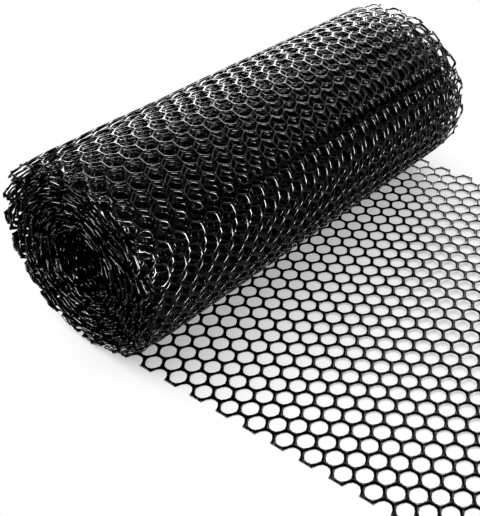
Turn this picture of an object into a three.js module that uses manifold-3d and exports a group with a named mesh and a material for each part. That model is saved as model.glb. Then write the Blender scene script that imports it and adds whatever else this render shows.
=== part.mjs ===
import * as THREE from 'three';
import { mergeVertices } from 'three/addons/utils/BufferGeometryUtils.js';
import Module from 'manifold-3d';

// Roll of black plastic hexagon netting with its loose end run out over the floor.
// +Y runs along the roll, the loose end leaves from under the roll towards +X, the floor is z = 0.

// Net
const netWide = 400;
const netThick = 2;
const strandWide = 3;
const meshesAcross = 13;
const meshWide = (netWide - strandWide) / meshesAcross;
const lineStep = 22;
const edgeLength = lineStep * 2 / 3;
const tipReach = lineStep * 2 / 3;
const cutScale = 1 - strandWide / meshWide;

// Wound roll
const rollHalfWide = 80.9;
const rollHalfHigh = 73.6;
const flatHalf = 11.2;
const layerStep = 2.4;
const boreRadius = 24;
const firstTurn = Math.asin(flatHalf / rollHalfWide);
const lastTurn = 2 * Math.PI - Math.asin(flatHalf / (rollHalfWide - layerStep));
const rollCentreHigh = rollHalfHigh * Math.cos(firstTurn);
const sectionSteps = 40;
const boreSteps = 36;
const reliefDeep = 2.3;
const reliefClear = 3;
const reliefMargin = 24;

// The ends of the roll lean, because the net was wound a little askew
const endLeanX = 0.086;
const endLeanZ = 0.068;

// Spiral gaps between the main turns, seen at both ends
const gapTurns = 5;
const gapWide = 0.05;
const gapDeep = 7;
const gapFrom = 0.07;
const gapTo = 0.9;
const gapStart = 0.35;
const gapSteps = 140;
const gapClear = 2;

// Loose end
const seatGap = 0.3;
const looseLines = 13;
const firstLine = 32.5;
const looseTurn = 0.02304;
const looseShift = 11.7;
const archHigh = 3.2;
const archMiddle = 40;
const archReach = 220;
const archFrom = 45;
const archFull = 180;
const rippleShare = 0.2;
const rippleLength = 150;

// Corners nearer than this are one corner
const weldReach = 1e-5;

const wasm = await Module();
wasm.setup();

function toSolid(geometry) {
  const bare = geometry.clone();
  bare.deleteAttribute('normal');
  bare.deleteAttribute('uv');
  const welded = mergeVertices(bare, weldReach);
  const mesh = new wasm.Mesh({
    numProp: 3,
    vertProperties: new Float32Array(welded.attributes.position.array),
    triVerts: new Uint32Array(welded.index.array),
  });
  return new wasm.Manifold(mesh);
}

function toGeometry(solid) {
  const mesh = solid.getMesh();
  const geometry = new THREE.BufferGeometry();
  geometry.setAttribute('position', new THREE.BufferAttribute(new Float32Array(mesh.vertProperties), 3));
  geometry.setIndex(new THREE.BufferAttribute(new Uint32Array(mesh.triVerts), 1));
  geometry.computeVertexNormals();
  return geometry;
}

// Section point: share 0 is the outside and 1 the bore, turn runs from the bottom over the -X side
function sectionPoint(share, turn, inset) {
  const wide = THREE.MathUtils.lerp(rollHalfWide - inset, boreRadius, share);
  const high = THREE.MathUtils.lerp(rollHalfHigh - inset, boreRadius, share);
  return new THREE.Vector2(-wide * Math.sin(turn), rollCentreHigh - high * Math.cos(turn));
}

// Lay a shape drawn in X and Z along +Y, from one end to the other
function alongRoll(shape, from, to) {
  const geometry = new THREE.ExtrudeGeometry(shape, { depth: to - from, bevelEnabled: false });
  geometry.rotateX(Math.PI / 2);
  geometry.translate(0, to, 0);
  return geometry;
}

// Outside of the roll: one turn from the flat spot over the top, dropping by a layer
function outerTurn() {
  const points = [];
  for (let i = 0; i <= sectionSteps; i++) {
    const turn = THREE.MathUtils.lerp(firstTurn, lastTurn, i / sectionSteps);
    points.push(sectionPoint(0, turn, layerStep * i / sectionSteps));
  }
  return points;
}

// The turn ends in a step, where the loose end leaves
function rollShape() {
  const shape = new THREE.Shape([new THREE.Vector2(flatHalf, 0), ...outerTurn()]);
  const bore = [];
  for (let i = 0; i < boreSteps; i++) {
    bore.push(sectionPoint(1, -2 * Math.PI * i / boreSteps, 0));
  }
  shape.holes.push(new THREE.Path(bore));
  return shape;
}

function gapShape() {
  const outer = [];
  const inner = [];
  for (let i = 0; i <= gapSteps; i++) {
    const turn = gapStart + 2 * Math.PI * gapTurns * i / gapSteps;
    const share = THREE.MathUtils.lerp(gapFrom, gapTo, i / gapSteps);
    outer.push(sectionPoint(share, turn, 0));
    inner.unshift(sectionPoint(share + gapWide, turn, 0));
  }
  return new THREE.Shape([...outer, ...inner]);
}

// Six corners of one open mesh of the net
function meshCorners(run, across) {
  const tip = tipReach * cutScale;
  const edge = edgeLength / 2 * cutScale;
  const side = meshWide / 2 * cutScale;
  return [
    new THREE.Vector2(run - tip, across),
    new THREE.Vector2(run - edge, across + side),
    new THREE.Vector2(run + edge, across + side),
    new THREE.Vector2(run + tip, across),
    new THREE.Vector2(run + edge, across - side),
    new THREE.Vector2(run - edge, across - side),
  ];
}

// Places of the meshes across a line: odd lines hold one mesh less
function acrossLine(line) {
  const count = line % 2 === 0 ? meshesAcross : meshesAcross - 1;
  return Array.from({ length: count }, (_, mesh) => (mesh - (count - 1) / 2) * meshWide);
}

// Open meshes of the outermost turn, sunk one layer deep
function rollRelief() {
  const turn = new THREE.SplineCurve(outerTurn());
  const length = turn.getLength();
  const lines = Math.floor((length - 2 * reliefMargin) / lineStep) + 1;
  const first = (length - (lines - 1) * lineStep) / 2;
  const cut = new THREE.ExtrudeGeometry(new THREE.Shape(meshCorners(0, 0)), {
    depth: reliefDeep + reliefClear,
    bevelEnabled: false,
  });
  cut.translate(0, 0, -reliefDeep);
  const cuts = [];
  for (let line = 0; line < lines; line++) {
    const share = (first + line * lineStep) / length;
    const point = turn.getPointAt(share);
    const run = turn.getTangentAt(share);
    const basis = new THREE.Matrix4().makeBasis(
      new THREE.Vector3(run.x, 0, run.y),
      new THREE.Vector3(0, 1, 0),
      new THREE.Vector3(-run.y, 0, run.x),
    );
    for (const across of acrossLine(line)) {
      cuts.push(toSolid(cut.clone().applyMatrix4(basis).translate(point.x, across, point.y)));
    }
  }
  return wasm.Manifold.union(cuts);
}

function woundRoll() {
  const half = netWide / 2;
  const near = toSolid(alongRoll(gapShape(), -half - gapClear, -half + gapDeep));
  const far = toSolid(alongRoll(gapShape(), half - gapDeep, half + gapClear));
  const body = toSolid(alongRoll(rollShape(), -half, half)).subtract(near).subtract(far);
  const geometry = toGeometry(body.subtract(rollRelief()));
  const place = geometry.attributes.position;
  for (let i = 0; i < place.count; i++) {
    const lean = endLeanX * place.getX(i) + endLeanZ * (place.getZ(i) - rollCentreHigh);
    place.setY(i, place.getY(i) - lean);
  }
  geometry.computeVertexNormals();
  return geometry;
}

// Where the loose end starts, in its own run, so that it stays square to the step in the roll
function looseStart(across) {
  return (flatHalf + seatGap + across * Math.sin(looseTurn)) / Math.cos(looseTurn);
}

function lineAt(line) {
  return firstLine + line * lineStep;
}

// Edge of the net beside a line: whole meshes stand out on even lines and half meshes stay open on odd ones
function edgeAt(line) {
  const open = line % 2 === 0 ? 0 : meshWide / 2;
  return netWide / 2 - open;
}

function looseShape() {
  const near = [];
  const far = [];
  for (let line = 0; line < looseLines; line++) {
    const reach = edgeLength / 2 + (line % 2 === 0 ? 1 : -1) * strandWide / 4;
    for (const side of [-1, 1]) {
      near.push(new THREE.Vector2(lineAt(line) + side * reach, -edgeAt(line)));
      far.unshift(new THREE.Vector2(lineAt(line) + side * reach, edgeAt(line)));
    }
  }
  const end = [];
  const endRun = lineAt(looseLines - 1) + strandWide / 2;
  for (let mesh = 0; mesh < meshesAcross; mesh++) {
    const across = (mesh - (meshesAcross - 1) / 2) * meshWide;
    end.push(new THREE.Vector2(endRun + tipReach, across));
    if (mesh < meshesAcross - 1) {
      end.push(new THREE.Vector2(endRun + edgeLength / 2, across + meshWide / 2));
    }
  }
  const startNear = new THREE.Vector2(looseStart(-edgeAt(0)), -edgeAt(0));
  const startFar = new THREE.Vector2(looseStart(edgeAt(0)), edgeAt(0));
  return new THREE.Shape([startNear, ...near, ...end, ...far, startFar]);
}

// The loose end lies flat by the roll and lifts a little in its middle
function lift(run, across) {
  const aside = THREE.MathUtils.clamp((across - archMiddle) / archReach, -1, 1);
  const crown = (1 + Math.cos(aside * Math.PI)) / 2;
  const ripple = 1 + rippleShare * Math.sin(2 * Math.PI * run / rippleLength);
  return archHigh * crown * ripple * THREE.MathUtils.smoothstep(run, archFrom, archFull);
}

function looseEnd() {
  const shape = looseShape();
  for (let line = 0; line < looseLines; line++) {
    for (const across of acrossLine(line)) {
      shape.holes.push(new THREE.Path(meshCorners(lineAt(line), across)));
    }
  }
  const geometry = new THREE.ExtrudeGeometry(shape, { depth: netThick, bevelEnabled: false });
  const place = geometry.attributes.position;
  for (let i = 0; i < place.count; i++) {
    place.setZ(i, place.getZ(i) + lift(place.getX(i), place.getY(i)));
  }
  geometry.computeVertexNormals();
  return geometry;
}

const blackPlastic = new THREE.MeshStandardMaterial({ color: 0x0d0d0e, roughness: 0.32, metalness: 0 });

const roll = new THREE.Mesh(woundRoll(), blackPlastic);
roll.name = 'wound_roll';

const loose = new THREE.Mesh(looseEnd(), blackPlastic);
loose.name = 'loose_end';
loose.position.set(0, looseShift, 0);
loose.rotation.z = looseTurn;

const netting = new THREE.Group();
netting.name = 'netting_roll';
netting.add(roll, loose);

export default netting;
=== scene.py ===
import math

import bmesh
import bpy
import numpy as np
from mathutils import Matrix, Vector


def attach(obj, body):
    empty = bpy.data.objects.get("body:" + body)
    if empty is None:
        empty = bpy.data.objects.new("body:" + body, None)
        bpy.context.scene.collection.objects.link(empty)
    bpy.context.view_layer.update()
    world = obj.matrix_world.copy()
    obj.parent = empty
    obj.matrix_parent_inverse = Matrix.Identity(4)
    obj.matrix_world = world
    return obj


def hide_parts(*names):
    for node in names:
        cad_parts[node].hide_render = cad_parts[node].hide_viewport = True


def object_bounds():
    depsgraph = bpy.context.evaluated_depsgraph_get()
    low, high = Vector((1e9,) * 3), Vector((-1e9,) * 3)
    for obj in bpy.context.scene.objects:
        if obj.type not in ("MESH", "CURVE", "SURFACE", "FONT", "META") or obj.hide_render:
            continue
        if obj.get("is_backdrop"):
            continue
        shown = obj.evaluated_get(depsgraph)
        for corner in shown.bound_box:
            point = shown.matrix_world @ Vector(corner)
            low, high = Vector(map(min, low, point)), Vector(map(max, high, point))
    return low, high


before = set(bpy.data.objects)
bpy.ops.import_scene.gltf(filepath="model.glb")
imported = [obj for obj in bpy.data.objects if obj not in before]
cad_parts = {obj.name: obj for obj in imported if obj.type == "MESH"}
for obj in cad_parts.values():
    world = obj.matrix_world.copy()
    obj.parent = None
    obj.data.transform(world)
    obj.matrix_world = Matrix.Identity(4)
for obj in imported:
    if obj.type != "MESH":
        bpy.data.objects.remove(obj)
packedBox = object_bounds()
print("frame loaded")

mm = 0.001


# Adds one node: its settings, then its inputs, each a plain value or a socket to link from
def addNode(tree, kind, settings={}, inputs={}):
    node = tree.nodes.new(kind)
    for name, value in settings.items():
        setattr(node, name, value)
    for name, value in inputs.items():
        if isinstance(value, bpy.types.NodeSocket):
            tree.links.new(value, node.inputs[name])
        else:
            node.inputs[name].default_value = value
    return node


def linear(hexColour):
    parts = [int(hexColour[i:i + 2], 16) / 255 for i in (1, 3, 5)]
    return [c / 12.92 if c <= 0.04045 else ((c + 0.055) / 1.055) ** 2.4 for c in parts] + [1]


def smoothStep(value, low, high):
    share = np.clip((value - low) / (high - low), 0, 1)
    return share * share * (3 - 2 * share)


def newObject(name, mesh):
    made = bpy.data.objects.new(name, mesh)
    bpy.context.scene.collection.objects.link(made)
    return made


# Extruded HDPE, black masterbatch: satin gloss with die lines, a faint bloom in the black
hdpeLook = {
    "black": "#000000",
    "bloom": "#020202",
    "ior": 1.54,
    "gloss": 0.15,
    "roughLow": 0.1,
    "roughHigh": 0.24,
    "bloomSize": 9 * mm,
    "bloomFrom": 0.45,  # where in its noise the bloom starts and is full
    "bloomFull": 0.75,
    "skinSize": 1.4 * mm,
    "skinSmooth": 0.3,  # where in its noise the skin is smoothest and roughest
    "skinDull": 0.7,
    "skinDeep": 0.05 * mm,
}


def extrudedHdpe(look):
    material = bpy.data.materials.new("extrudedHdpeBlack")
    material.use_nodes = True
    tree = material.node_tree
    tree.nodes.clear()
    place = addNode(tree, "ShaderNodeTexCoord").outputs["Object"]
    bloom = addNode(tree, "ShaderNodeTexNoise", {}, {
        "Vector": place, "Scale": 1 / look["bloomSize"], "Detail": 3, "Roughness": 0.6})
    bloomRamp = addNode(tree, "ShaderNodeValToRGB", {}, {"Fac": bloom.outputs["Fac"]})
    bloomRamp.color_ramp.elements[0].position = look["bloomFrom"]
    bloomRamp.color_ramp.elements[0].color = linear(look["black"])
    bloomRamp.color_ramp.elements[1].position = look["bloomFull"]
    bloomRamp.color_ramp.elements[1].color = linear(look["bloom"])
    skin = addNode(tree, "ShaderNodeTexNoise", {}, {
        "Vector": place, "Scale": 1 / look["skinSize"], "Detail": 2})
    rough = addNode(tree, "ShaderNodeMapRange", {}, {
        "Value": skin.outputs["Fac"], "From Min": look["skinSmooth"], "From Max": look["skinDull"],
        "To Min": look["roughLow"], "To Max": look["roughHigh"]})
    bump = addNode(tree, "ShaderNodeBump", {}, {
        "Height": skin.outputs["Fac"], "Distance": look["skinDeep"], "Strength": 1})
    shader = addNode(tree, "ShaderNodeBsdfPrincipled", {}, {
        "Base Color": bloomRamp.outputs["Color"], "Roughness": rough.outputs["Result"],
        "Normal": bump.outputs["Normal"], "IOR": look["ior"], "Specular IOR Level": look["gloss"]})
    addNode(tree, "ShaderNodeOutputMaterial", {}, {"Surface": shader.outputs["BSDF"]})
    return material


hdpe = extrudedHdpe(hdpeLook)
print("material made")

# The net: rounded hexagon meshes, neighbours across the width share an edge along the run
netSizes = {
    "meshesAcross": 25,
    "pitch": 15.92 * mm,
    "strandAlong": 2.45 * mm,  # strand between neighbours across the width
    "strandAslant": 2.1 * mm,  # strand between one line and the next
    "tipReach": 0.69,  # from the middle of a mesh to its tip, in line steps
    "thick": 1.25 * mm,
    "selvedge": 0.9 * mm,  # how far outside the middle of the last strand the net is slit
    "waver": 0.5 * mm,
    "waverSize": 28 * mm,
    "weld": 0.02 * mm,  # corners nearer than this are one corner
    "cutReach": 0.001 * mm,
    "seed": 4.7,
}


# Corners of the cell around one mesh, at the middle of its strands
def cellCorners(lineStep):
    tip = lineStep * netSizes["tipReach"]
    side = lineStep - tip
    half = netSizes["pitch"] / 2
    return np.array([
        (tip, 0), (side, half), (-side, half),
        (-tip, 0), (-side, -half), (side, -half)])


# How far a mesh is open in each direction: three pairs of strands, softly joined
def openRadius(directions, lineStep, power):
    tip, (side, half) = cellCorners(lineStep)[0], cellCorners(lineStep)[1]
    aslant = np.hypot(half, tip[0] - side)
    lift, tilt = half / aslant, (tip[0] - side) / aslant
    normals = np.array([(0, 1), (lift, tilt), (lift, -tilt)])
    aslantReach = tip[0] * lift - netSizes["strandAslant"] / 2
    reach = np.array([half - netSizes["strandAlong"] / 2, aslantReach, aslantReach])
    return (np.abs(directions @ normals.T / reach) ** power).sum(axis=1) ** (-1 / power)


# One mesh of the net with half of each strand round it:
# loops from the top, round its rim, to the bottom
def netCell(name, lineStep, form):
    corners = cellCorners(lineStep)
    shares = np.arange(form["perEdge"]) / form["perEdge"]
    edges = np.roll(corners, -1, axis=0) - corners
    border = (corners[:, None] + edges[:, None] * shares[:, None]).reshape(-1, 2)
    directions = border / np.linalg.norm(border, axis=1)[:, None]
    rim = directions * openRadius(directions, lineStep, form["rounding"])[:, None]
    loops = form["loops"]
    points = []
    for inward, height in loops:
        ring = border + (rim - border) * inward
        points += [(x, y, height * netSizes["thick"] / 2) for x, y in ring]
    count = len(border)
    faces = []
    for loop in range(len(loops) - 1):
        for i in range(count):
            j = (i + 1) % count
            upper, lower = loop * count, (loop + 1) * count
            faces.append((upper + i, upper + j, lower + j, lower + i))
    mesh = bpy.data.meshes.new(name)
    mesh.from_pydata(points, [], faces)
    if form["sharpRim"]:
        rimFirst = loops.index((1, 0)) * count
        rimCorners = range(rimFirst, rimFirst + count)
        sharp = mesh.attributes.new("sharp_edge", "BOOLEAN", "EDGE")
        for edge in mesh.edges:
            sharp.data[edge.index].value = all(corner in rimCorners for corner in edge.vertices)
    return newObject(name, mesh)


# How finely a cell is made: points on each edge, how sharp its corners are,
# and its loops (share of the way in to the rim, height)
roundLoops = [(0, 1), (0.5, 0.76), (1, 0), (0.5, -0.76), (0, -1)]
slimLoops = [(0, 1), (1, 0), (0, -1)]
flatCell = {"perEdge": 2, "rounding": 7, "loops": roundLoops, "sharpRim": True}
roundCell = {"perEdge": 3, "rounding": 7, "loops": roundLoops, "sharpRim": False}
slimCell = {"perEdge": 2, "rounding": 7, "loops": slimLoops, "sharpRim": False}
hexCell = {"perEdge": 1, "rounding": 24, "loops": slimLoops, "sharpRim": False}


def addInput(tree, name, kind):
    tree.interface.new_socket(name, in_out="INPUT", socket_type=kind)


# Lays the meshes in lines, flat: X is the run, Y the width
def layNetTree():
    tree = bpy.data.node_groups.new("layNet", "GeometryNodeTree")
    addInput(tree, "Geometry", "NodeSocketGeometry")
    addInput(tree, "Cell", "NodeSocketObject")
    addInput(tree, "First Line", "NodeSocketInt")
    addInput(tree, "Lines", "NodeSocketInt")
    addInput(tree, "Columns", "NodeSocketInt")
    addInput(tree, "Pitch", "NodeSocketFloat")
    addInput(tree, "Line Step", "NodeSocketFloat")
    addInput(tree, "Weld", "NodeSocketFloat")
    addInput(tree, "Waver", "NodeSocketFloat")
    addInput(tree, "Waver Size", "NodeSocketFloat")
    addInput(tree, "Seed", "NodeSocketFloat")
    addInput(tree, "Material", "NodeSocketMaterial")
    tree.interface.new_socket("Geometry", in_out="OUTPUT", socket_type="NodeSocketGeometry")
    given = addNode(tree, "NodeGroupInput").outputs
    count = addNode(tree, "FunctionNodeIntegerMath", {"operation": "MULTIPLY"}, {
        0: given["Lines"], 1: given["Columns"]}).outputs[0]
    index = addNode(tree, "GeometryNodeInputIndex").outputs[0]
    row = addNode(tree, "FunctionNodeIntegerMath", {"operation": "DIVIDE_FLOOR"}, {
        0: index, 1: given["Columns"]}).outputs[0]
    column = addNode(tree, "FunctionNodeIntegerMath", {"operation": "MODULO"}, {
        0: index, 1: given["Columns"]}).outputs[0]
    line = addNode(tree, "FunctionNodeIntegerMath", {"operation": "ADD"}, {
        0: row, 1: given["First Line"]}).outputs[0]
    odd = addNode(tree, "FunctionNodeIntegerMath", {"operation": "MODULO"}, {0: line, 1: 2}).outputs[0]
    oddShift = addNode(tree, "ShaderNodeMath", {"operation": "MULTIPLY_ADD"}, {
        0: odd, 1: 0.5, 2: column}).outputs[0]
    middle = addNode(tree, "ShaderNodeMath", {"operation": "MULTIPLY_ADD"}, {
        0: given["Columns"], 1: -0.5, 2: 0.5}).outputs[0]
    place = addNode(tree, "ShaderNodeMath", {"operation": "ADD"}, {0: oddShift, 1: middle}).outputs[0]
    across = addNode(tree, "ShaderNodeMath", {"operation": "MULTIPLY"}, {
        0: place, 1: given["Pitch"]}).outputs[0]
    run = addNode(tree, "ShaderNodeMath", {"operation": "MULTIPLY"}, {
        0: line, 1: given["Line Step"]}).outputs[0]
    centre = addNode(tree, "ShaderNodeCombineXYZ", {}, {"X": run, "Y": across}).outputs[0]
    points = addNode(tree, "GeometryNodePoints", {}, {"Count": count, "Position": centre}).outputs[0]
    cell = addNode(tree, "GeometryNodeObjectInfo", {}, {"Object": given["Cell"]}).outputs["Geometry"]
    cells = addNode(tree, "GeometryNodeInstanceOnPoints", {}, {
        "Points": points, "Instance": cell}).outputs[0]
    net = addNode(tree, "GeometryNodeRealizeInstances", {}, {"Geometry": cells}).outputs[0]
    joined = addNode(tree, "GeometryNodeMergeByDistance", {}, {
        "Geometry": net, "Distance": given["Weld"]}).outputs[0]
    # the strands stray a little from the even pattern, more than their neighbours do from each other
    flatPlace = addNode(tree, "GeometryNodeInputPosition").outputs[0]
    level = addNode(tree, "ShaderNodeVectorMath", {"operation": "MULTIPLY"}, {
        0: flatPlace, 1: (1, 1, 0)}).outputs[0]
    size = addNode(tree, "ShaderNodeMath", {"operation": "DIVIDE"}, {
        0: 1.0, 1: given["Waver Size"]}).outputs[0]
    stray = addNode(tree, "ShaderNodeTexNoise", {"noise_dimensions": "4D"}, {
        "Vector": level, "W": given["Seed"], "Scale": size, "Detail": 1.5}).outputs["Color"]
    evenStray = addNode(tree, "ShaderNodeVectorMath", {"operation": "SUBTRACT"}, {
        0: stray, 1: (0.5, 0.5, 0.5)}).outputs[0]
    sideways = addNode(tree, "ShaderNodeVectorMath", {"operation": "MULTIPLY"}, {
        0: evenStray, 1: (2, 2, 0)}).outputs[0]
    offset = addNode(tree, "ShaderNodeVectorMath", {"operation": "SCALE"}, {
        0: sideways, "Scale": given["Waver"]}).outputs[0]
    wavered = addNode(tree, "GeometryNodeSetPosition", {}, {
        "Geometry": joined, "Offset": offset}).outputs[0]
    smooth = addNode(tree, "GeometryNodeSetShadeSmooth", {}, {"Geometry": wavered}).outputs[0]
    finished = addNode(tree, "GeometryNodeSetMaterial", {}, {
        "Geometry": smooth, "Material": given["Material"]}).outputs[0]
    addNode(tree, "NodeGroupOutput", {}, {"Geometry": finished})
    return tree


# Carries a flat net along a path: X is the way along it, Y the width and Z stands out from it
def windNetTree():
    tree = bpy.data.node_groups.new("windNet", "GeometryNodeTree")
    addInput(tree, "Geometry", "NodeSocketGeometry")
    addInput(tree, "Path", "NodeSocketObject")
    addInput(tree, "Slack", "NodeSocketFloat")
    addInput(tree, "Slack Size", "NodeSocketFloat")
    addInput(tree, "Edge From", "NodeSocketFloat")
    addInput(tree, "Edge To", "NodeSocketFloat")
    addInput(tree, "Draw In", "NodeSocketFloat")
    addInput(tree, "Fray", "NodeSocketVector")
    addInput(tree, "Fray Size", "NodeSocketFloat")
    addInput(tree, "Lean", "NodeSocketVector")
    addInput(tree, "Seed", "NodeSocketFloat")
    addInput(tree, "Material", "NodeSocketMaterial")
    tree.interface.new_socket("Geometry", in_out="OUTPUT", socket_type="NodeSocketGeometry")
    given = addNode(tree, "NodeGroupInput").outputs
    path = addNode(tree, "GeometryNodeObjectInfo", {}, {"Object": given["Path"]}).outputs["Geometry"]
    flatPlace = addNode(tree, "GeometryNodeInputPosition").outputs[0]
    levelPlace = addNode(tree, "ShaderNodeVectorMath", {"operation": "MULTIPLY"}, {
        0: flatPlace, 1: (1, 1, 0)}).outputs[0]
    # the meshes near the ends stray from the rest
    width = addNode(tree, "ShaderNodeSeparateXYZ", {}, {0: flatPlace}).outputs["Y"]
    fromMiddle = addNode(tree, "ShaderNodeMath", {"operation": "ABSOLUTE"}, {0: width}).outputs[0]
    edge = addNode(tree, "ShaderNodeMapRange", {"interpolation_type": "SMOOTHSTEP"}, {
        "Value": fromMiddle, "From Min": given["Edge From"],
        "From Max": given["Edge To"]}).outputs["Result"]
    fraySize = addNode(tree, "ShaderNodeMath", {"operation": "DIVIDE"}, {
        0: 1.0, 1: given["Fray Size"]}).outputs[0]
    frayNoise = addNode(tree, "ShaderNodeTexNoise", {"noise_dimensions": "4D"}, {
        "Vector": levelPlace, "W": given["Seed"], "Scale": fraySize, "Detail": 1}).outputs["Color"]
    evenFray = addNode(tree, "ShaderNodeVectorMath", {"operation": "SUBTRACT"}, {
        0: frayNoise, 1: (0.5, 0.5, 0.5)}).outputs[0]
    frayReach = addNode(tree, "ShaderNodeVectorMath", {"operation": "MULTIPLY"}, {
        0: evenFray, 1: given["Fray"]}).outputs[0]
    fray = addNode(tree, "ShaderNodeVectorMath", {"operation": "SCALE"}, {
        0: frayReach, "Scale": edge}).outputs[0]
    frayed = addNode(tree, "ShaderNodeVectorMath", {"operation": "ADD"}, {
        0: flatPlace, 1: fray}).outputs[0]
    flat = addNode(tree, "ShaderNodeSeparateXYZ", {}, {0: frayed}).outputs
    drawnIn = addNode(tree, "ShaderNodeMath", {"operation": "MULTIPLY"}, {
        0: edge, 1: given["Draw In"]}).outputs[0]
    sample = addNode(tree, "GeometryNodeSampleCurve", {"mode": "LENGTH"}, {
        "Curves": path, "Length": flat["X"]}).outputs
    outward = addNode(tree, "ShaderNodeVectorMath", {"operation": "CROSS_PRODUCT"}, {
        0: sample["Tangent"], 1: (0, 1, 0)}).outputs[0]
    # the turns lie unevenly tight on each other
    slackSize = addNode(tree, "ShaderNodeMath", {"operation": "DIVIDE"}, {
        0: 1.0, 1: given["Slack Size"]}).outputs[0]
    slackNoise = addNode(tree, "ShaderNodeTexNoise", {"noise_dimensions": "4D"}, {
        "Vector": levelPlace, "W": given["Seed"], "Scale": slackSize, "Detail": 1}).outputs["Fac"]
    evenSlack = addNode(tree, "ShaderNodeMath", {"operation": "SUBTRACT"}, {
        0: slackNoise, 1: 0.5}).outputs[0]
    slackHeight = addNode(tree, "ShaderNodeMath", {"operation": "MULTIPLY_ADD"}, {
        0: evenSlack, 1: given["Slack"], 2: flat["Z"]}).outputs[0]
    height = addNode(tree, "ShaderNodeMath", {"operation": "SUBTRACT"}, {
        0: slackHeight, 1: drawnIn}).outputs[0]
    raised = addNode(tree, "ShaderNodeVectorMath", {"operation": "SCALE"}, {
        0: outward, "Scale": height}).outputs[0]
    onPath = addNode(tree, "ShaderNodeVectorMath", {"operation": "ADD"}, {
        0: sample["Position"], 1: raised}).outputs[0]
    # the ends of the roll lean
    lean = addNode(tree, "ShaderNodeVectorMath", {"operation": "DOT_PRODUCT"}, {
        0: onPath, 1: given["Lean"]}).outputs["Value"]
    across = addNode(tree, "ShaderNodeMath", {"operation": "SUBTRACT"}, {
        0: flat["Y"], 1: lean}).outputs[0]
    sideways = addNode(tree, "ShaderNodeCombineXYZ", {}, {"Y": across}).outputs[0]
    place = addNode(tree, "ShaderNodeVectorMath", {"operation": "ADD"}, {
        0: onPath, 1: sideways}).outputs[0]
    wound = addNode(tree, "GeometryNodeSetPosition", {}, {
        "Geometry": given["Geometry"], "Position": place}).outputs[0]
    whole = addNode(tree, "GeometryNodeRealizeInstances", {}, {"Geometry": wound}).outputs[0]
    finished = addNode(tree, "GeometryNodeSetMaterial", {}, {
        "Geometry": whole, "Material": given["Material"]}).outputs[0]
    addNode(tree, "NodeGroupOutput", {}, {"Geometry": finished})
    return tree


# Runs a tree on an object and keeps the result as its plain mesh
def applyTree(piece, tree, values):
    modifier = piece.modifiers.new(tree.name, "NODES")
    modifier.node_group = tree
    for item in tree.interface.items_tree:
        if item.item_type == "SOCKET" and item.in_out == "INPUT" and item.name in values:
            modifier[item.identifier] = values[item.name]
    bpy.context.view_layer.update()
    shaped = piece.evaluated_get(bpy.context.evaluated_depsgraph_get())
    made = bpy.data.meshes.new_from_object(shaped)
    made.name = piece.name
    piece.modifiers.remove(modifier)
    flatMesh = piece.data
    piece.data = made
    bpy.data.meshes.remove(flatMesh)


# Cuts the net straight off beyond each plane and closes the cut strands
def trimNet(piece, planes):
    shell = bmesh.new()
    shell.from_mesh(piece.data)
    for point, outward in planes:
        everything = shell.verts[:] + shell.edges[:] + shell.faces[:]
        cut = bmesh.ops.bisect_plane(
            shell, geom=everything, plane_co=point, plane_no=outward, clear_outer=True,
            dist=netSizes["cutReach"])
        edges = [part for part in cut["geom_cut"] if isinstance(part, bmesh.types.BMEdge)]
        bmesh.ops.holes_fill(shell, edges=edges, sides=0)
    shell.to_mesh(piece.data)
    shell.free()


layNet = layNetTree()
windNet = windNetTree()


# A flat stretch of net from one place of the run to another
def flatNet(name, cell, lineStep, runStart, runEnd):
    piece = newObject(name, bpy.data.meshes.new(name))
    firstLine = math.floor(runStart / lineStep) - 1
    lastLine = math.ceil(runEnd / lineStep) + 1
    applyTree(piece, layNet, {
        "Cell": cell,
        "First Line": firstLine,
        "Lines": lastLine - firstLine + 1,
        "Columns": netSizes["meshesAcross"] + 2,
        "Pitch": netSizes["pitch"],
        "Line Step": lineStep,
        "Weld": netSizes["weld"],
        "Waver": netSizes["waver"],
        "Waver Size": netSizes["waverSize"],
        "Seed": netSizes["seed"],
        "Material": hdpe,
    })
    edge = netSizes["meshesAcross"] * netSizes["pitch"] / 2 + netSizes["selvedge"]
    trimNet(piece, [
        ((0, edge, 0), (0, 1, 0)), ((0, -edge, 0), (0, -1, 0)),
        ((runEnd, 0, 0), (1, 0, 0)), ((runStart, 0, 0), (-1, 0, 0))])
    return piece


def finishNet(piece, node):
    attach(piece, "root")
    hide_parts(node)
    triangles = sum(len(face.vertices) - 2 for face in piece.data.polygons)
    print(piece.name, "made,", triangles, "triangles")


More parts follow.
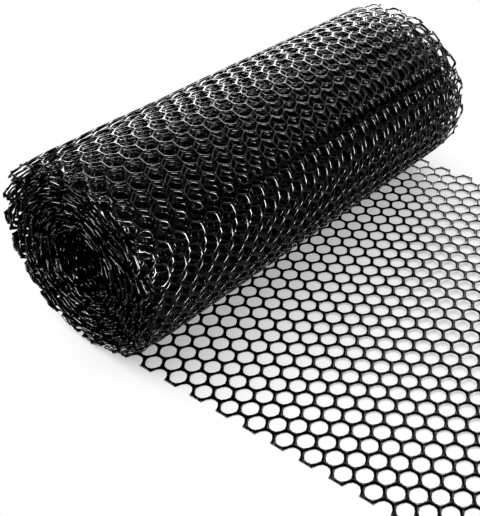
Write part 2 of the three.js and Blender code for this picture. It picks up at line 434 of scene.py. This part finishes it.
# Wound turns: from the floor under the roll, up its -X side, over the top and inwards
windingSizes = {
    "halfWide": 80.2 * mm,
    "halfHigh": 72.9 * mm,
    "centreHigh": 73.8 * mm,
    "boreRadius": 25.2 * mm,
    "boreShift": 5 * mm,  # the bore lies off the middle, towards +X
    "turns": 24,
    "stepsPerTurn": 120,
    "lineStep": 11.9 * mm,
    "firstLine": 0.155,  # lines of the loose end that lie under the roll where the winding starts
    "outerStep": 0.95,  # distance of the outer turns from each other, as a share of the mean
    "outerTop": 0.35,  # how much more it is at the top and less at the bottom
    "topTurn": 178 / 360,
    "turnLines": (0, 40, 78, 115, 151.5),  # lines from the first turn to each of the outer ones
    # place in the turn, and how many lines each turn lies off the one before it there
    "lineShifts": ((125 / 360, 0), (190 / 360, 0), (280 / 360, -0.7)),
    "skew": 0.0245,  # how far the turns slant across the outer one
    "skewRate": 0.37,  # times in each turn
    "leanX": 0.06,
    "leanZ": 0.068,
    "slack": 2 * mm,
    "slackSize": 45 * mm,
    "spread": 0.005,  # how much further each outer turn reaches at the far end
    "spreadTurns": 5,
    "wander": 0.8 * mm,  # how far the turns lie to and fro along the roll
    "wanderRate": 0.29,  # times in each turn
    "edge": 22 * mm,  # how much of the width strays at each end
    "drawIn": 0.8 * mm,
    "fray": (8.5 * mm, 8.5 * mm, 4.2 * mm),
    "fraySize": 8 * mm,
    "startShift": 7.3 * mm,  # the first quarter turn comes round from the askew loose end
    "startLength": 140 * mm,
    "seed": 2.3,
}


def windingPath(sizes):
    turn = np.linspace(0, 2 * math.pi * sizes["turns"], sizes["turns"] * sizes["stepsPerTurn"] + 1)
    share = turn / turn[-1]
    outerStep = sizes["outerStep"] - sizes["outerTop"] * np.cos(turn)
    inward = share * (outerStep + (1 - outerStep) * share)
    wide = sizes["halfWide"] + (sizes["boreRadius"] - sizes["halfWide"]) * inward
    high = sizes["halfHigh"] + (sizes["boreRadius"] - sizes["halfHigh"]) * inward
    x = sizes["boreShift"] * inward - wide * np.sin(turn)
    z = sizes["centreHigh"] - high * np.cos(turn)
    length = np.concatenate([[0], np.cumsum(np.hypot(np.diff(x), np.diff(z)))])
    curve = bpy.data.curves.new("windingPath", "CURVE")
    curve.dimensions = "3D"
    spline = curve.splines.new("POLY")
    spline.points.add(len(turn) - 1)
    spline.points.foreach_set("co", np.stack([x, 0 * x, z, 0 * x + 1], axis=1).ravel())
    return newObject("windingPath", curve), turn, length


path, pathTurn, pathLength = windingPath(windingSizes)


def lengthAt(turns):
    return float(np.interp(2 * math.pi * turns, pathTurn, pathLength))


# Lines and lengths along the path that belong together
# (the pattern comes round again every second line)
def shiftedLines(sizes):
    lines = [sizes["firstLine"]]
    lengths = [0]
    for turn, turnLine in enumerate(sizes["turnLines"]):
        for place, shift in sizes["lineShifts"]:
            lengths.append(lengthAt(place + turn))
            line = sizes["firstLine"] + lengthAt(place) / sizes["lineStep"]
            lines.append(line + turnLine + turn * shift)
    lengths.append(lengthAt(sizes["turns"]))
    lines.append(lines[-1] + (lengths[-1] - lengths[-2]) / sizes["lineStep"])
    return lines, lengths


knownLines, knownLengths = shiftedLines(windingSizes)
print("lines in the outer turns", [round(line, 2) for line in knownLines])
outerCell = netCell("outerCell", windingSizes["lineStep"], roundCell)
middleCell = netCell("middleCell", windingSizes["lineStep"], slimCell)
innerCell = netCell("innerCell", windingSizes["lineStep"], hexCell)


# One stretch of the winding, its first and last place counted in turns
def woundTurns(name, cell, fromTurn, toTurn):
    start, end = lengthAt(fromTurn), lengthAt(toTurn)
    lineStep = windingSizes["lineStep"]
    runStart, runEnd = np.interp([start, end], knownLengths, knownLines) * lineStep
    piece = flatNet(name, cell, lineStep, runStart, runEnd)
    points = np.empty(len(piece.data.vertices) * 3)
    piece.data.vertices.foreach_get("co", points)
    length = np.interp(points[::3] / lineStep, knownLines, knownLengths)
    turn = np.interp(length, pathLength, pathTurn) / (2 * math.pi)
    half = netSizes["meshesAcross"] * netSizes["pitch"] / 2
    # the outer turn lies true at the top, the others slant and wander to its sides
    past = turn - windingSizes["topTurn"]
    skew = windingSizes["skew"] * np.sin(math.pi * windingSizes["skewRate"] * past) ** 2
    points[::3] = length + skew * (points[1::3] + half)
    spread = windingSizes["spread"] * np.clip(past, 0, windingSizes["spreadTurns"])
    points[1::3] += spread * np.maximum(points[1::3], 0)
    points[1::3] += windingSizes["wander"] * np.sin(2 * math.pi * windingSizes["wanderRate"] * past)
    points[1::3] += windingSizes["startShift"] * (1 - smoothStep(length, 0, windingSizes["startLength"]))
    piece.data.vertices.foreach_set("co", points)
    applyTree(piece, windNet, {
        "Path": path,
        "Slack": windingSizes["slack"],
        "Slack Size": windingSizes["slackSize"],
        "Edge From": half - windingSizes["edge"],
        "Edge To": half,
        "Draw In": windingSizes["drawIn"],
        "Fray": windingSizes["fray"],
        "Fray Size": windingSizes["fraySize"],
        "Lean": (windingSizes["leanX"], 0, windingSizes["leanZ"]),
        "Seed": windingSizes["seed"],
        "Material": hdpe,
    })
    points = np.empty(len(piece.data.vertices) * 3)
    piece.data.vertices.foreach_get("co", points)
    points[1::3] += windingSizes["leanZ"] * windingSizes["centreHigh"]
    points[2::3] = np.maximum(points[2::3], 0)
    piece.data.vertices.foreach_set("co", points)
    piece.data.update()
    finishNet(piece, "wound_roll")


woundTurns("outerTurn", outerCell, 0, 1)
woundTurns("secondTurn", outerCell, 1, 2)
woundTurns("middleTurns", middleCell, 2, 5)
woundTurns("innerTurns", innerCell, 5, 12)
woundTurns("deepTurns", innerCell, 12, 19)
woundTurns("coreTurns", innerCell, 19, 24)

# Loose end: leaves from under the roll, a little askew, and lies on the floor
looseSizes = {
    "lineStep": 11.43 * mm,
    "firstRun": 1.85 * mm,
    "start": 0 * mm,
    "end": 309 * mm,
    "askew": 0.02304,
    "shift": 11.7 * mm,
    "rise": 2.9 * mm,
    "riseFrom": 45 * mm,
    "riseFull": 180 * mm,
    "flatEdge": 220 * mm,
    "ripple": 0.25,
    "rippleLength": 150 * mm,
}


def layLooseEnd(sizes):
    cell = netCell("looseCell", sizes["lineStep"], flatCell)
    piece = flatNet("looseEnd", cell, sizes["lineStep"], sizes["start"] - sizes["firstRun"],
                    sizes["end"] - sizes["firstRun"])
    points = np.empty(len(piece.data.vertices) * 3)
    piece.data.vertices.foreach_get("co", points)
    run, across, height = points.reshape(-1, 3).T
    run = run + sizes["firstRun"]
    half = netSizes["meshesAcross"] * netSizes["pitch"] / 2
    rise = sizes["rise"] * smoothStep(run, sizes["riseFrom"], sizes["riseFull"])
    rise = rise * smoothStep(across, -half, -half + sizes["flatEdge"])
    rise = rise * (1 + sizes["ripple"] * np.sin(2 * math.pi * (run + across) / sizes["rippleLength"]))
    turned = Matrix.Rotation(sizes["askew"], 2)
    x = turned[0][0] * run + turned[0][1] * across
    y = turned[1][0] * run + turned[1][1] * across + sizes["shift"]
    z = height + netSizes["thick"] / 2 + rise
    piece.data.vertices.foreach_set("co", np.stack([x, y, z], axis=1).ravel())
    piece.data.update()
    finishNet(piece, "loose_end")
    bpy.data.objects.remove(cell)


layLooseEnd(looseSizes)
for helper in (path, outerCell, middleCell, innerCell):
    bpy.data.objects.remove(helper)
print("netting made")

# White floor that glows as painted light, darkened by painted shadow where the netting hides it from its
# surroundings, in a dim studio with a pale horizon
studio = {
    "floorSide": 8.0,
    "floorWhite": "#ffffff",
    "floorGlow": 1.0,
    "floorShade": 0.35,
    "floorOpen": 0.68,  # how much of the sky a spot must see to be fully lit
    "shadeReach": 0.5,
    "paintedShadowLean": (-0.45, -0.2, 0.87),  # which way the painted shadow on the floor leans: the axis round which its occlusion is sampled
    "skyWhite": "#ffffff",
    "horizon": 1.0,
    "horizonHigh": 0.25,
    "middle": (0, 0, 0.07),
    "gamma": 0.8,  # the photo shows the blacks deep
}
studioLights = [
    {"name": "backLight", "place": (-1.83, 2.26, 0.8), "wide": 2.1, "high": 1.2, "power": 107},
    {"name": "roofLight", "place": (-1.27, 2.2, 1.59), "wide": 2.2, "high": 0.95, "power": 53},
    {"name": "topLight", "place": (0.75, 2.31, 1.83), "wide": 1.4, "high": 1.06, "power": 42},
    {"name": "frontLight", "place": (-0.45, -0.8, 0.18), "wide": 0.7, "high": 0.34, "power": 55},
    {"name": "cornerLight", "place": (0.22, -0.5, 0.1), "wide": 0.14, "high": 0.12, "power": 5},
    {"name": "sideLight", "place": (2.93, 0.1, 0.75), "wide": 1.6, "high": 1.1, "power": 790},
]


def softbox(sizes):
    light = bpy.data.lights.new(sizes["name"], "AREA")
    light.shape = "RECTANGLE"
    light.size = sizes["wide"]
    light.size_y = sizes["high"]
    light.energy = sizes["power"]
    lamp = bpy.data.objects.new(sizes["name"], light)
    bpy.context.scene.collection.objects.link(lamp)
    towards = Vector(studio["middle"]) - Vector(sizes["place"])
    turned = towards.to_track_quat("-Z", "Y").to_matrix().to_4x4()
    lamp.matrix_world = Matrix.Translation(sizes["place"]) @ turned
    lamp.visible_camera = False


def makeFloor(sizes):
    half = sizes["floorSide"] / 2
    mesh = bpy.data.meshes.new("floor")
    corners = [(-half, -half, 0), (half, -half, 0), (half, half, 0), (-half, half, 0)]
    mesh.from_pydata(corners, [], [(0, 1, 2, 3)])
    floor = newObject("floor", mesh)
    floorPaint = bpy.data.materials.new("backlitMattAcrylic")
    floorPaint.use_nodes = True
    tree = floorPaint.node_tree
    tree.nodes.clear()
    paintedShadowAxis = addNode(tree, "ShaderNodeCombineXYZ", {}, dict(zip("XYZ", sizes["paintedShadowLean"])))
    # painted shadow: ambient occlusion darkens the floor's painted glow near the roll and under the
    # netting
    unshaded = addNode(tree, "ShaderNodeAmbientOcclusion", {}, {
        "Distance": sizes["shadeReach"], "Normal": paintedShadowAxis.outputs[0]}).outputs["AO"]
    glow = addNode(tree, "ShaderNodeMapRange", {}, {
        "Value": unshaded, "From Max": sizes["floorOpen"],
        "To Min": sizes["floorShade"], "To Max": sizes["floorGlow"]}).outputs["Result"]
    # painted light: the floor glows by emission, though it is no lamp
    shader = addNode(tree, "ShaderNodeEmission", {}, {
        "Color": linear(sizes["floorWhite"]), "Strength": glow})
    addNode(tree, "ShaderNodeOutputMaterial", {}, {"Surface": shader.outputs["Emission"]})
    mesh.materials.append(floorPaint)
    floor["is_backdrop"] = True


def makeSky(sizes):
    world = bpy.data.worlds.new("studioSky")
    world.use_nodes = True
    tree = world.node_tree
    direction = addNode(tree, "ShaderNodeTexCoord").outputs["Generated"]
    towards = addNode(tree, "ShaderNodeSeparateXYZ", {}, {0: direction}).outputs
    horizon = addNode(tree, "ShaderNodeMapRange", {"interpolation_type": "SMOOTHSTEP"}, {
        "Value": towards["Z"], "From Min": 0, "From Max": sizes["horizonHigh"],
        "To Min": sizes["horizon"], "To Max": 0}).outputs["Result"]
    sky = tree.nodes["Background"]
    sky.inputs["Color"].default_value = linear(sizes["skyWhite"])
    tree.links.new(horizon, sky.inputs["Strength"])
    bpy.context.scene.world = world
    bpy.context.scene.view_settings.view_transform = "Standard"
    bpy.context.scene.view_settings.gamma = sizes["gamma"]


makeFloor(studio)
makeSky(studio)
for lightSizes in studioLights:
    softbox(lightSizes)

# Camera of the photograph: its place, and which way it looks and leans
cameraSizes = {
    "place": (419.5 * mm, -578.6 * mm, 480.6 * mm),
    "ahead": (-0.48682, 0.65377, -0.57930),
    "right": (0.77515, 0.62906, 0.05852),
    "lens": 70.88,
    "sensor": 36.0,
    "nearest": 10 * mm,
}


def makeCamera(sizes):
    data = bpy.data.cameras.new("camera")
    data.lens = sizes["lens"]
    data.sensor_width = sizes["sensor"]
    data.clip_start = sizes["nearest"]
    camera = bpy.data.objects.new("camera", data)
    bpy.context.scene.collection.objects.link(camera)
    back = -Vector(sizes["ahead"]).normalized()
    right = Vector(sizes["right"]).normalized()
    up = back.cross(right)
    turned = Matrix((right, up, back)).transposed().to_4x4()
    camera.matrix_world = Matrix.Translation(sizes["place"]) @ turned
    bpy.context.scene.camera = camera


makeCamera(cameraSizes)
print("studio and camera set")

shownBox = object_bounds()
boxes = {"cad": packedBox, "visual": shownBox}
boxes = {name: [list(corner) for corner in box] for name, box in boxes.items()}
